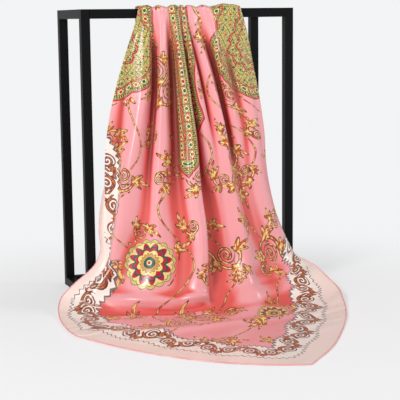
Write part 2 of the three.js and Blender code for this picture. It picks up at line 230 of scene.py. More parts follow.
def outward(across, run):
    """The directions out of the plain form, away from the stand or up from the floor."""
    step, share = 2, 0.01  # how far to each side the form is compared
    along = plain_form(across, min(RUNS[-1], run + step)) - plain_form(across, max(0, run - step))
    over = plain_form(across + share, run) - plain_form(across - share, run)
    return unit(np.cross(along, over))


def centripetal(points, count):
    """A centripetal Catmull-Rom curve through points, with count steps between neighbours."""
    ends = [2 * points[0] - points[1], *points, 2 * points[-1] - points[-2]]
    t = (np.arange(count) / count)[:, None]
    curve = []
    for p0, p1, p2, p3 in zip(ends, ends[1:], ends[2:], ends[3:]):
        d0, d1, d2 = (math.sqrt(np.linalg.norm(b - a)) for a, b in ((p0, p1), (p1, p2), (p2, p3)))
        m1 = ((p1 - p0) / d0 - (p2 - p0) / (d0 + d1) + (p2 - p1) / d1) * d1
        m2 = ((p2 - p1) / d1 - (p3 - p1) / (d1 + d2) + (p3 - p2) / d2) * d1
        a, b = 2 * p1 - 2 * p2 + m1 + m2, 3 * p2 - 3 * p1 - 2 * m1 - m2
        curve.append(a * t**3 + b * t**2 + m1 * t + p1)
    return np.concatenate([*curve, [points[-1]]])


def fold_values(run):
    """The fold table's lines at one distance down the cloth: across, out and hides."""
    place = max(LEVEL_RUNS[0], run)
    calm = 1 - ease(run, RUN_AT["low flare"], RUN_AT[FLAT_FROM])
    tables = np.array(list(FOLDS.values()), float).transpose(1, 2, 0)
    at_front_hem = (np.linspace(0, 1, len(FOLDS)), np.zeros(len(FOLDS)), np.zeros(len(FOLDS)))
    across, out, hides = (
        smooth_through(LEVEL_RUNS, np.vstack([table, last]), place)
        for table, last in zip(tables, at_front_hem)
    )
    return across, out * calm, np.maximum(0, hides)


def folded_section(run):
    """The folded section at one distance down the cloth, and what each column hides."""
    left, right = plain_form([0, 1], run)
    width = np.linalg.norm(right - left)
    across, out, hides = fold_values(run)
    curve = centripetal(np.column_stack([across * width, out]), FOLD_STEPS)
    places = plain_form(curve[:, 0] / width, run) + outward(curve[:, 0] / width, run) * curve[:, 1:]
    hidden = np.zeros(len(curve))
    hidden[::FOLD_STEPS] = hides
    return places, hidden


def normals_of(grid):
    """The directions out of a grid of places."""
    return unit(np.cross(np.gradient(grid, axis=0), np.gradient(grid, axis=1)))


def faded_ends(along, full_from, full_to):
    """1 along the middle of a line and less towards its ends."""
    return ease(along, 0, full_from) * (1 - ease(along, full_to, 1))


def crease_heights(grid, runs):
    """How far the creases, rolls and gathers lift each place of the cloth."""
    columns = grid.shape[1]
    run, line = np.meshgrid(runs, np.arange(columns) / FOLD_STEPS, indexing="ij")
    spacing = lengths(grid).sum(-1)[:, None] / (len(FOLDS) - 1)
    height = np.zeros_like(run)
    for from_line, from_run, to_line, to_run, rise, width in CREASES:
        along = (run - from_run) / (to_run - from_run)
        middle = from_line + (to_line - from_line) * along
        ridge = np.exp(-(((line - middle) * spacing / width) ** 2))
        height += rise * faded_ends(along, *CREASE_FULL) * ridge
    for from_line, from_run, to_line, to_run, rise, width in ROLLS:
        along = (line - from_line) / (to_line - from_line)
        middle = from_run + (to_run - from_run) * along
        ridge = np.exp(-(((run - middle) / width) ** 2))
        height += rise * faded_ends(along, *ROLL_FULL) * ridge
    gathers = np.sin(line * 9.1 + 0.6) + 0.6 * np.sin(line * 14.3 + 2 + run / 40)
    near_rail = ease(run, *GATHERED_FROM) * (1 - ease(run, *GATHERED_UNTIL))
    slack = np.sin(line * 1.7 + run / 37) * np.sin(run / 53 + line * 0.6)
    return height + GATHERS * gathers * near_rail + SLACK * slack * ease(run, *SLACK_FROM)


def make_cloth():
    """The grid of the cloth's middle, its directions out, its runs and what it hides."""
    runs = np.arange(0, RUNS[-1], ROW_SPACING)
    runs = np.append(runs, RUNS[-1])
    sections = [folded_section(run) for run in runs]
    grid = np.array([places for places, _ in sections])
    hidden = np.array([hides for _, hides in sections])
    grid += normals_of(grid) * crease_heights(grid, runs)[..., None]
    grid[..., 2] = np.maximum(grid[..., 2], FLOOR_GAP)
    beside_rail = (runs > RUN_AT["front corner"]) & (runs < RUN_AT["below rail"])
    grid[beside_rail, :, 1] = np.minimum(grid[beside_rail, :, 1], -RAIL_GAP)
    return grid, normals_of(grid), runs, hidden


# Where each place lies on the flat cloth, for the print
REFERENCE_LINE = "main edge"  # the field of the print is measured across from this line
EDGES_BY_DISTANCE = ("knee", "shin")  # below these the edges are found by plain distance

# Where the cloth's layers and its rim lie on the map for a bake, from 0 to 1
BAKE_DOWN = (0.97, 0.03)
BAKE_OVER = (0.02, 0.48)
BAKE_SHIFT = (0.5, 0)  # of the inside from the outside
BAKE_RIM_OVER = (0.01, 0.99)
BAKE_RIM_DOWN = (0.004, 0.012)


def corners_of(values):
    """The values at the four corners of each face of a grid."""
    return np.stack([values[:-1, :-1], values[1:, :-1], values[1:, 1:], values[:-1, 1:]], axis=2)


def nearest_on(line, places):
    """For each place, its distance to a line of points and how far along the line that is."""
    flat = places.reshape(-1, 3)
    distance = np.full(len(flat), np.inf)
    along = np.zeros(len(flat))
    for start, step, length, mark in zip(line, np.diff(line, axis=0), lengths(line), marks_of(line)):
        share = np.clip((flat - start) @ step / length**2, 0, 1)
        away = np.linalg.norm(flat - start - share[:, None] * step, axis=-1)
        closer = away < distance
        distance[closer] = away[closer]
        along[closer] = (mark + share * length)[closer]
    return distance.reshape(places.shape[:2]), along.reshape(places.shape[:2])


def across_cloth(grid, hidden):
    """How far each face corner, and each place, lies from the left hem along the whole cloth."""
    before = np.concatenate([np.zeros((len(grid), 1)), np.cumsum(lengths(grid), axis=1)], axis=1)
    tucked = np.cumsum(hidden, axis=1)
    at_start = tucked[:, :-1, None]
    faces = np.stack([at_start[:-1], at_start[1:], at_start[1:], at_start[:-1]], axis=2)[..., 0]
    return corners_of(before) + faces, before + tucked


def field_places(grid, runs, hidden):
    """How far each face corner lies across from the reference line and up from the hem."""
    corner_across, across = across_cloth(grid, hidden)
    reference = across[:, list(FOLDS).index(REFERENCE_LINE) * FOLD_STEPS]
    rows = np.repeat(reference[:, None], grid.shape[1], axis=1)
    up = np.repeat((runs[-1] - runs)[:, None], grid.shape[1], axis=1)
    return np.stack([corner_across - corners_of(rows), corners_of(up)], axis=-1)


def border_places(grid, runs, hidden):
    """How far each face corner lies along the nearest edge and in from it."""
    plain_corners, plain = across_cloth(grid, hidden * 0)
    tucked = across_cloth(grid, hidden)[0] - plain_corners
    whole = np.repeat(plain[:, -1:], grid.shape[1], axis=1)
    all_tucked = corners_of(np.repeat(hidden.sum(axis=1)[:, None], grid.shape[1], axis=1))
    by_distance = ease(runs, *(RUN_AT[name] for name in EDGES_BY_DISTANCE))[:, None]
    front_length = lengths(grid[-1]).sum()
    left_marks = marks_of(grid[:, 0])[:, None]
    right_marks = marks_of(grid[::-1, -1])[::-1, None]

    def mixed(by_row, nearest):
        return corners_of(by_row * (1 - by_distance) + nearest * by_distance)

    left_in, left_along = nearest_on(grid[:, 0], grid)
    right_in, right_along = nearest_on(grid[::-1, -1], grid)
    front_in, front_along = nearest_on(grid[-1], grid)
    left_start = left_marks[-1] + front_length
    sides = [
        (mixed(left_marks, left_along) - left_start, mixed(plain, left_in) + tucked),
        (corners_of(front_along) - front_length, corners_of(front_in)),
        (mixed(right_marks, right_along), mixed(whole - plain, right_in) + all_tucked - tucked),
        (corners_of(plain), corners_of(runs[:, None] * np.ones(grid.shape[1]))),
    ]
    places = np.array([np.stack(side, axis=-1) for side in sides])
    nearest = places[..., 1].mean(axis=-1).argmin(axis=0)
    return np.take_along_axis(places, nearest[None, :, :, None, None], axis=0)[0]


def new_object(name, data):
    thing = bpy.data.objects.new(name, data)
    bpy.context.scene.collection.objects.link(thing)
    return thing


def new_mesh(name, points, faces, material_of=None):
    """An object from points in millimetres and faces, shaded smooth."""
    mesh = bpy.data.meshes.new(name)
    mesh.from_pydata((STAND_CORNER + MM * points).tolist(), [], faces)
    mesh.polygons.foreach_set("use_smooth", [True] * len(mesh.polygons))
    if material_of is not None:
        mesh.polygons.foreach_set("material_index", material_of)
    mesh.update()
    return new_object(name, mesh)


def around_edge(values):
    """The values of a grid along its edge, once around."""
    return np.concatenate([values[:-1, 0], values[-1, :-1], values[:0:-1, -1], values[0, :0:-1]])


def shell_faces(rows, columns):
    """Faces of a closed shell on two layers of a grid: the outside, the inside and the rim."""
    index = np.arange(rows * columns).reshape(rows, columns)
    a, b, c, d = index[:-1, :-1], index[1:, :-1], index[1:, 1:], index[:-1, 1:]
    outside = np.stack([a, b, c, d], -1).reshape(-1, 4)
    inside = outside[:, ::-1] + index.size
    ring = around_edge(index)
    after = np.roll(ring, -1)
    rim = np.stack([after, ring, ring + index.size, after + index.size], -1)
    return outside, inside, rim


def set_map(mesh, name, corners):
    """A UV map from one pair of numbers for each face corner."""
    layer = mesh.uv_layers.new(name=name)
    layer.data.foreach_set("uv", np.concatenate([part.reshape(-1) for part in corners]))


def make_scarf(grid, out, runs, hidden):
    """The cloth as a thin closed shell, with the maps that its print and a bake lie on."""
    layers = np.concatenate([(grid + out * side * CLOTH / 2).reshape(-1, 3) for side in (1, -1)])
    outside, inside, rim = shell_faces(*grid.shape[:2])
    faces = np.concatenate([outside, inside, rim])
    side = np.repeat([0, 1, 1], [len(outside), len(inside), len(rim)])
    scarf = new_mesh("scarf_cloth", layers, faces.tolist(), side)
    rim_border = np.tile([0.0, 0.0], (len(rim), 4, 1))
    for name, places in (
        ("field", field_places(grid, runs, hidden)),
        ("border", border_places(grid, runs, hidden)),
    ):
        set_map(scarf.data, name, [places, places[:, :, ::-1], rim_border])
    down = np.linspace(*BAKE_DOWN, grid.shape[0])
    over = np.linspace(*BAKE_OVER, grid.shape[1])
    down, over = np.meshgrid(down, over, indexing="ij")
    left_half = corners_of(np.stack([over, down], axis=-1))
    right_half = left_half[:, :, ::-1] + BAKE_SHIFT
    ends = np.linspace(*BAKE_RIM_OVER, len(rim) + 1)
    low, high = (np.full(len(rim), level) for level in BAKE_RIM_DOWN)
    strip = np.stack([ends[1:], low, ends[:-1], low, ends[:-1], high, ends[1:], high], axis=-1)
    set_map(scarf.data, "OFBake", [left_half, right_half, strip])
    return scarf


# Hem
HEM_SIDES = 8
HEM_INSET = 0.4  # of the roll's middle from the cloth's edge
HEM_FLOOR_GAP = 0.05
HEM_LOWEST = 0.03
DRAWN_IN = 0.07  # how much thinner the roll is at a stitch
UNEVEN = 0.06
STITCH_SPACING = 5
STITCH_LENGTH = 2.2
STITCH_RADIUS = 0.22
STITCH_PLACE = 0.72  # out of the cloth and in from its edge, in radii of the roll
STITCH_LEAN = (0.6, 0.55)  # along the hem, and across it


def edge_path(grid, out):
    """Even places around the edge, with the directions out of the cloth and in from there."""
    inner = np.concatenate([grid[:-1, 1], grid[-2, :-1], grid[:0:-1, -2], grid[1, :0:-1]])
    places = around_edge(grid)
    marks = marks_of(np.concatenate([places, places[:1]]))
    count = int(marks[-1] / HEM_STEP)
    at = np.arange(count) * marks[-1] / count

    def evenly(values):
        values = np.concatenate([values, values[:1]])
        return np.column_stack([np.interp(at, marks, values[:, k]) for k in range(3)])

    return evenly(places), unit(evenly(around_edge(out))), unit(evenly(inner - places))


def make_hem(grid, out):
    """The rolled hem around all four edges, drawn in a little at each stitch."""
    places, outs, ins = edge_path(grid, out)
    along = unit(np.roll(places, -1, axis=0) - np.roll(places, 1, axis=0))
    outs = unit(outs - along * (outs * along).sum(-1, keepdims=True))
    sideways = np.cross(along, outs)
    towards_cloth = np.sign((sideways * ins).sum(-1, keepdims=True))
    centres = places + sideways * towards_cloth * HEM_INSET
    centres[:, 2] = np.maximum(centres[:, 2], HEM_RADIUS + HEM_FLOOR_GAP)
    count = np.arange(len(places))
    at_stitch = np.cos(count * 2 * math.pi * HEM_STEP / STITCH_SPACING)
    uneven = np.sin(count * 0.083) * np.sin(count * 0.031)
    radius = (HEM_RADIUS - DRAWN_IN * at_stitch + UNEVEN * uneven)[:, None, None]
    angles = np.arange(HEM_SIDES) * 2 * math.pi / HEM_SIDES
    around = np.cos(angles)[:, None] * outs[:, None] + np.sin(angles)[:, None] * sideways[:, None]
    points = (centres[:, None] + radius * around).reshape(-1, 3)
    points[:, 2] = np.maximum(points[:, 2], HEM_LOWEST)
    index = np.arange(len(points)).reshape(-1, HEM_SIDES)
    below = np.roll(index, -1, axis=0)
    faces = np.stack([index, below, np.roll(below, -1, axis=1), np.roll(index, -1, axis=1)], -1)
    hem = new_mesh("rolled_hem", points, faces.reshape(-1, 4).tolist())
    return hem, centres, outs, sideways * towards_cloth, along


def make_stitches(centres, outs, ins, along):
    """Small slanted stitches that hold the rolled hem down, one after another around it."""
    spine = np.array([(-0.5, 0, 0), (0.5, 0, 0), (0, 1, 0), (0, 0, 1), (0, -1, 0), (0, 0, -1)])
    spine = spine * [STITCH_LENGTH, STITCH_RADIUS, STITCH_RADIUS]
    sides = [(2, 3), (3, 4), (4, 5), (5, 2)]
    faces = np.array([(1, a, b) for a, b in sides] + [(0, b, a) for a, b in sides])
    points, triangles = [], []
    for k in range(0, len(centres), round(STITCH_SPACING / HEM_STEP)):
        middle = centres[k] + (outs[k] + ins[k]) * HEM_RADIUS * STITCH_PLACE
        lean = unit(along[k] * STITCH_LEAN[0] + (ins[k] - outs[k]) * STITCH_LEAN[1])
        side = unit(np.cross(lean, outs[k]))
        axes = np.array([lean, side, np.cross(lean, side)])
        triangles.append(faces + 6 * len(points))
        points.append(middle + spine @ axes)
    return new_mesh("hem_stitches", np.concatenate(points), np.concatenate(triangles).tolist())


# Camera and light
CAMERA_PLACE = Vector((-0.4599, -1.8603, 0.4655))  # from the foot of the front left post
CAMERA_YAW = 0.340
CAMERA_PITCH = 0.152
CAMERA_ROLL = -0.011
CAMERA_LENS = 106.3

LIGHTS_AIM = (0, 0.05, 0.22)
LIGHTS = [("key", (-1.9, -1.5, 1.7), 56), ("rim", (1.8, -0.6, 1.2), 15)]  # place and power
LIGHT_SIZE = 0.7

# Levels that turn smoothly from one to another: two places, and the level at each
WORLD_STRENGTH = (0.04, 0.22, 0.91, 0.26)  # by the height that a direction points to
FLOOR_GLOW = (0.2, 0.8, 0.42, 0.895)  # by the distance from the part, as is the grey
FLOOR_GREY = (0.2, 0.8, 0.53, 0.0)
STUDIO_WHITE = (0.985, 0.99, 1, 1)
FLOOR_HALF = 12.0
FLOOR_HEIGHT = -0.0003


def make_camera():
    """The camera at the photograph's viewing angle."""
    turn = Matrix.Rotation(-CAMERA_YAW, 3, "Z") @ Matrix.Rotation(math.pi / 2 - CAMERA_PITCH, 3, "X")
    data = bpy.data.cameras.new("camera")
    data.lens = CAMERA_LENS
    camera = new_object("camera", data)
    camera.matrix_world = (turn @ Matrix.Rotation(CAMERA_ROLL, 3, "Z")).to_4x4()
    camera.location = Vector(STAND_CORNER) + CAMERA_PLACE
    bpy.context.scene.camera = camera


def make_light(name, place, power):
    """A soft square light."""
    data = bpy.data.lights.new(name, "AREA")
    data.size = LIGHT_SIZE
    data.energy = power
    light = new_object(name, data)
    light.location = place
    towards = Vector(LIGHTS_AIM) - Vector(place)
    light.rotation_euler = towards.to_track_quat("-Z", "Y").to_euler()


def faded(tree, value, fade):
    """A level that follows a value in the tree."""
    node = tree.nodes.new("ShaderNodeMapRange")
    node.interpolation_type = "SMOOTHSTEP"
    tree.links.new(value, node.inputs["Value"])
    for name, level in zip(("From Min", "From Max", "To Min", "To Max"), fade):
        node.inputs[name].default_value = level
    return node.outputs["Result"]


def make_world():
    """Soft light from all round: a bright sweep at the floor's height, dimmer overhead."""
    world = bpy.data.worlds.new("studio")
    world.use_nodes = True
    tree = world.node_tree
    direction = tree.nodes.new("ShaderNodeTexCoord").outputs["Generated"]
    parts = tree.nodes.new("ShaderNodeSeparateXYZ")
    tree.links.new(direction, parts.inputs["Vector"])
    background = tree.nodes["Background"]
    background.inputs["Color"].default_value = STUDIO_WHITE
    strength = faded(tree, parts.outputs["Z"], WORLD_STRENGTH)
    tree.links.new(strength, background.inputs["Strength"])
    bpy.context.scene.world = world


def floor_material():
    """Pale matt paper that turns into an even glow away from the part."""
    material, tree, shader = new_material("floor", 0.8)
    shader.inputs["Specular IOR Level"].default_value = 0.1
    shader.inputs["Emission Color"].default_value = STUDIO_WHITE
    place = tree.nodes.new("ShaderNodeTexCoord").outputs["Object"]
    away = tree.nodes.new("ShaderNodeVectorMath")
    away.operation = "LENGTH"
    tree.links.new(place, away.inputs[0])
    for socket, fade in (("Emission Strength", FLOOR_GLOW), ("Base Color", FLOOR_GREY)):
        tree.links.new(faded(tree, away.outputs["Value"], fade), shader.inputs[socket])
    return material


def make_stage():
    """A plain pale floor and soft studio light."""
    mesh = bpy.data.meshes.new("floor")
    corners = [(x * FLOOR_HALF, y * FLOOR_HALF) for x, y in ((-1, -1), (1, -1), (1, 1), (-1, 1))]
    mesh.from_pydata([(x, y, FLOOR_HEIGHT) for x, y in corners], [], [(0, 1, 2, 3)])
    floor = new_object("floor", mesh)
    floor.data.materials.append(floor_material())
    make_world()
    for source in LIGHTS:
        make_light(*source)
    bpy.context.scene.view_settings.view_transform = "Standard"


# Arithmetic with nodes
SOFT_EDGE = 0.5  # how far the edge of a printed shape fades, in millimetres


def calculate(tree, operation, *values):
    """A Math node on numbers and on sockets of the tree."""
    node = tree.nodes.new("ShaderNodeMath")
    node.operation = operation
    for socket, value in zip(node.inputs, values):
        if isinstance(value, Number):
            tree.links.new(value.socket, socket)
        else:
            socket.default_value = value
    return Number(tree, node.outputs[0])


class Number:
    """A number that nodes work out; arithmetic on it adds the nodes."""

    def __init__(self, tree, socket):
        self.tree = tree
        self.socket = socket

    def do(self, operation, *others):
        return calculate(self.tree, operation, self, *others)

    def __add__(self, other):
        return self.do("ADD", other)

    def __sub__(self, other):
        return self.do("SUBTRACT", other)

    def __rsub__(self, other):
        return calculate(self.tree, "SUBTRACT", other, self)

    def __mul__(self, other):
        return self.do("MULTIPLY", other)

    def __truediv__(self, other):
        return self.do("DIVIDE", other)

    def __abs__(self):
        return self.do("ABSOLUTE")

    def least(self, other):
        return self.do("MINIMUM", other)

    def most(self, other):
        return self.do("MAXIMUM", other)

    def clamped(self):
        """The same number, kept from 0 to 1."""
        self.socket.node.use_clamp = True
        return self

    def filled(self, soft=SOFT_EDGE):
        """1 where this distance is below zero, 0 where it is above."""
        return (0.5 - self / soft).clamped()

    def outline(self, width):
        return (abs(self) - width / 2).filled()


def turned(x, y, turn):
    """x and y in axes turned by an angle, which is a number or worked out by nodes."""
    if isinstance(turn, Number):
        c, s = turn.do("COSINE"), turn.do("SINE")
    else:
        c, s = math.cos(turn), math.sin(turn)
    return x * c + y * s, y * c - x * s


def polar(x, y):
    return (x * x + y * y).do("SQRT"), y.do("ARCTAN2", x)


def steps(value, spacing):
    """How far a value lies from the middle of its step, and which step it is in."""
    count = (value / spacing).do("FLOOR")
    return (value / spacing - count - 0.5) * spacing, count


def is_odd(count):
    return (count * 0.5).do("FRACT").do("GREATER_THAN", 0.25)


def uv_socket(tree, name):
    node = tree.nodes.new("ShaderNodeUVMap")
    node.uv_map = name
    return node.outputs["UV"]


def map_of(tree, name):
    """The two numbers of a UV map."""
    parts = tree.nodes.new("ShaderNodeSeparateXYZ")
    tree.links.new(uv_socket(tree, name), parts.inputs["Vector"])
    return Number(tree, parts.outputs["X"]), Number(tree, parts.outputs["Y"])


def noise_of(tree, place, size, detail=2.0):
    """Smooth noise from 0 to 1 at a size in the units of the place."""
    node = tree.nodes.new("ShaderNodeTexNoise")
    node.inputs["Scale"].default_value = 1 / size
    node.inputs["Detail"].default_value = detail
    tree.links.new(place, node.inputs["Vector"])
    return Number(tree, node.outputs["Fac"])


def depth_of(tree):
    """How deep in the folds a place lies."""
    node = tree.nodes.new("ShaderNodeAttribute")
    node.attribute_name = "depth"
    return Number(tree, node.outputs["Fac"])


class Paint:
    """A colour built up from printed layers."""

    def __init__(self, tree, colour):
        self.tree = tree
        self.colour = colour

    def lay(self, mask, colour):
        mix = self.tree.nodes.new("ShaderNodeMix")
        mix.data_type = "RGBA"
        sockets = {socket.identifier: socket for socket in mix.inputs}
        self.tree.links.new(mask.socket, sockets["Factor_Float"])
        for name, value in (("A_Color", self.colour), ("B_Color", colour)):
            if isinstance(value, bpy.types.NodeSocket):
                self.tree.links.new(value, sockets[name])
            else:
                sockets[name].default_value = value
        self.colour = next(socket for socket in mix.outputs if socket.identifier == "Result_Color")
        return self


# Inks and other colours
def ink(red, green, blue):
    """A colour given as on a screen, from 0 to 255, in the linear terms of a shader."""
    return [((c / 255 + 0.055) / 1.055) ** 2.4 for c in (red, green, blue)] + [1]


PINK = ink(242, 164, 168)
# Painted shade: coral for the hollows of the folds, and maroon for the deepest of them
PAINTED_SHADE_CORAL = ink(232, 84, 74)
PAINTED_SHADE_MAROON = ink(128, 22, 20)
PEACH = ink(250, 224, 214)
CREAM = ink(250, 234, 224)
GOLD = ink(250, 218, 130)
ORANGE = ink(206, 84, 32)
OLIVE = ink(86, 54, 26)
KHAKI = ink(214, 198, 114)
STRAW = ink(236, 220, 150)
MOSS = ink(66, 56, 28)
SAND = ink(206, 160, 92)
CRIMSON = ink(190, 26, 62)
GREEN = ink(22, 96, 84)
AMBER = ink(206, 116, 66)
RUST = ink(160, 58, 34)
BROWN = ink(70, 38, 34)
SLATE = ink(104, 98, 104)
HEM_PINK = ink(232, 120, 130)
THREAD_PINK = ink(226, 120, 128)
BLACK = ink(6, 6, 8)
WORN_BLACK = ink(14, 14, 17)

# Print, in millimetres on the flat cloth
CURL_HALF = 0.6  # half the width of a curl's line


def curl(x, y, radius, pitch):
    """Distance from the line of a spiral that fills a disc."""
    away, angle = polar(x, y)
    arm = (away / pitch - angle * (1 / (2 * math.pi))).do("FRACT") - 0.5
    line = (abs(arm) * pitch - CURL_HALF).most((away - radius) * 3)
    return line, line


def leaf(x, y, length):
    """Distance from a long lobed leaf that bends, plain and with its veins cut out."""
    away, angle = polar(x * 0.6, y + x * x * (0.16 / length))
    swing = angle * 3.5
    tips = swing.do("COSINE")
    lobes = tips * tips * 0.58 + 0.42
    shape = (away - lobes * (angle.do("COSINE") * 0.5 + 0.5) * length) * 0.8
    vein = abs(swing.do("SINE")) * away * 0.3 - 0.3
    vein = vein.most(away - length * 0.74).most(length * 0.2 - away)
    return shape, shape.most(0 - vein)


def arc(x, y, radius, half_width):
    """Distance from half a ring that stands above the x axis."""
    away = (x * x + y * y).do("SQRT")
    line = (abs(away - radius) - half_width).most(0 - y)
    return line, line


# Motifs: a row for each shape, with its place, its turn and its sizes
LARGE_SPRAY = [
    (arc, -15, 0, 0, 17, 1.0),
    (arc, 19, 0, math.pi, 17, 1.0),
    (curl, -14, -1, 0.5, 11, 6.6),
    (curl, 18, 1, 3.4, 11, 6.6),
    (leaf, 32, 2, 0.4, 14),
    (leaf, -29, -2, 3.6, 13.5),
    (leaf, -19, 16, 1.3, 12.5),
    (leaf, 22, -16, -1.7, 12.5),
    (leaf, 2, 3, 0.9, 11),
]
SMALL_SPRAY = [
    (arc, -4, 0, 0, 9, 0.8),
    (curl, -8, -1, 0.5, 7, 4.8),
    (leaf, 5, -1, -1.1, 12),
    (leaf, -5, 8, 1.0, 8),
]
SCROLL = [(curl, 0, -2, 0.9, 11.5, 5.6), (leaf, 9, -7, -0.5, 9.5), (leaf, -9, 10, 2.6, 8.5)]

# The field: sprays in the cells of two grids, long stems, and larger ornaments at given places,
# across from the reference line and up from the front hem
LARGE_CELLS = (146, 0.13)  # size and offset
SMALL_CELLS = (78, 0.41)
SPRAY_SCALE = 1.3  # of the sprays to the sizes they are drawn at
STEM_SPACING = 104
STEM_TURN = 190  # height of one S of a stem
STEM_SWAY = 30
MEDALLIONS = [(-228, 735, 128, 8), (292, 722, 124, 9)]  # place, radius and lobes
LOBE_DEPTH = 6
ROSETTES = [(-98, 336, 44), (112, 222, 28)]  # place and radius
RIBBONS = [(-20, 23, 478), (64, 21, 556)]  # across, half the width, where the point is
FIELD_WAVER = (26, 4)  # size and reach of the print's straying from straight lines
BORDER_WAVER = (22, 3)

# Trim of the medallions and ribbons: how far in from their edge, width and colour
TRIM = [
    (0.6, 2.8, CRIMSON), (3.2, 0.9, MOSS), (8.4, 0.9, MOSS),
    (19.6, 0.9, MOSS), (21.6, 1.8, CRIMSON), (52, 2.4, CRIMSON),
    (55, 1.0, MOSS), (64, 1.0, MOSS), (66.5, 2.0, CRIMSON),
]
TICK_ROW = 6
TICK_SPACING = 3.6
STONE_ROW = 14
STONE_SPACING = 15
STONE_RADIUS = 2.7
BAR_HALF = 0.9  # of the bars between the stones
LATTICE_FROM = 21
LATTICE_SPACING = 17
FILIGREE_SIZE = 8

# Rings of a rosette: petals, their swing and the ring's size in radii, fill and line
RINGS = [
    (16, 0.10, 0.90, KHAKI, MOSS),
    (24, 0.07, 0.82, STRAW, MOSS),
    (12, 0.26, 0.58, CRIMSON, None),
    (12, 0.10, 0.60, GREEN, BROWN),
    (12, 0.14, 0.50, CRIMSON, None),
    (8, 0.12, 0.42, GOLD, BROWN),
    (16, 0.08, 0.31, SAND, BROWN),
    (1, 0.0, 0.22, GREEN, BROWN),
    (1, 0.0, 0.12, STRAW, BROWN),
    (1, 0.0, 0.06, CRIMSON, None),
]

# The border, in from the hem
MARGIN = 35  # plain edge of the cloth
BAND_END = 80  # inner side of the scroll band
LOBE_SPACING = 92  # of the band's wavy sides
LOBE_HEIGHT = 8
TOOTH = 11  # spacing of the teeth of its two lines
SCROLL_SPACING = 38
SCROLL_DRAWN = 33  # the spacing that the scroll is drawn for
STEM_RISE = 13  # of the wavy stem that joins the scrolls


def drawn(motif, x, y, scale=1):
    """The distance from a motif at its size on the cloth, plain and with its cuts."""
    x, y = x / scale, y / scale
    shapes = [
        shape(*turned(x - at_x, y - at_y, turn), *sizes)
        for shape, at_x, at_y, turn, *sizes in motif
    ]
    plain, cut = shapes[0]
    for other_plain, other_cut in shapes[1:]:
        plain, cut = plain.least(other_plain), cut.least(other_cut)
    return plain * scale, cut * scale


def cell_of(tree, x, y, size, offset):
    """A place in its cell of a grid with staggered rows, turned at random in each."""
    up = y / size + offset
    row = up.do("FLOOR")
    sideways = x / size + row * 0.5 + offset
    column = sideways.do("FLOOR")
    noise = tree.nodes.new("ShaderNodeTexWhiteNoise")
    noise.noise_dimensions = "2D"
    place = tree.nodes.new("ShaderNodeCombineXYZ")
    tree.links.new(column.socket, place.inputs["X"])
    tree.links.new(row.socket, place.inputs["Y"])
    tree.links.new(place.outputs["Vector"], noise.inputs["Vector"])
    turn = Number(tree, noise.outputs["Value"]) * (2 * math.pi)
    return turned((sideways - column - 0.5) * size, (up - row - 0.5) * size, turn)


def strayed(tree, name, size, reach):
    """How far the print strays at a place."""
    return (noise_of(tree, uv_socket(tree, name), size) - 0.5) * reach


def shaded(tree, name, size, threshold, strength, light, dark):
    """A colour that turns from light to dark in soft patches."""
    shade = (noise_of(tree, uv_socket(tree, name), size, 0) - threshold) * strength
    return Paint(tree, light).lay(shade.clamped(), dark).colour


def paint_stones(paint, mask, away, count):
    """Round stones, crimson and green by turns."""
    stone = (away - STONE_RADIUS).filled() * mask
    paint.lay(stone, CRIMSON)
    paint.lay(stone * is_odd(count), GREEN)


def paint_lattice(paint, inside, x, y):
    """A lattice with a flower round a stone in each of its openings."""
    core = (LATTICE_FROM - inside).filled()
    p, column = steps(x + y, LATTICE_SPACING)
    q, row = steps(x - y, LATTICE_SPACING)
    lines = LATTICE_SPACING / 2 - abs(p).most(abs(q)) - 0.5
    away, angle = polar(p, q)
    petals = away - abs((angle * 2).do("COSINE")) * 1.6 - 2.4
    paint.lay(lines.filled() * core, MOSS)
    paint.lay((petals - 0.9).filled() * core, MOSS)
    paint.lay(petals.filled() * core, STRAW)
    paint_stones(paint, core, away, column + row)


def paint_frame(paint, along, inside):
    """Rows of ticks and of stones in lozenges that follow the edge."""
    tick, _ = steps(along, TICK_SPACING)
    paint.lay((abs(inside - TICK_ROW) - 1.7).filled() * (abs(tick) - 0.8).filled(), MOSS)
    x, count = steps(along, STONE_SPACING)
    y = inside - STONE_ROW
    row = (abs(y) - 5.4).filled()
    lozenge = abs(x) * 0.8 + abs(y) - 5.2
    paint.lay(lozenge.filled() * row, STRAW)
    paint.lay((lozenge - 0.4).outline(1.0) * row, MOSS)
    paint_stones(paint, row, (x * x + y * y).do("SQRT"), count)
    paint.lay((STONE_SPACING / 2 - BAR_HALF - abs(x)).filled() * row, CRIMSON)


def paint_ornament(paint, tree, along, inside, x, y):
    """Filigree and a lattice within rows of trim; inside is the distance in from the edge."""
    area = (0 - inside).filled()
    contours = (noise_of(tree, uv_socket(tree, "field"), FILIGREE_SIZE, 0) * 7).do("FRACT")
    paint.lay(area, KHAKI)
    paint.lay((abs(contours - 0.5) - 0.13).filled(0.1) * area, MOSS)
    paint_lattice(paint, inside, x, y)
    paint_frame(paint, along, inside)
    for at, width, colour in TRIM:
        paint.lay((inside - at).outline(width) * (-1 - inside).filled(), colour)


def paint_rosette(paint, x, y, radius):
    """A round flower of rings of petals."""
    away, angle = polar(x, y)
    for count, swing, size, fill, line in RINGS:
        petals = away - radius * size
        if swing:
            petals = petals - abs((angle * (count / 2)).do("SINE")) * (radius * swing)
        paint.lay(petals.filled(), fill)
        if line:
            paint.lay(petals.outline(0.9), line)


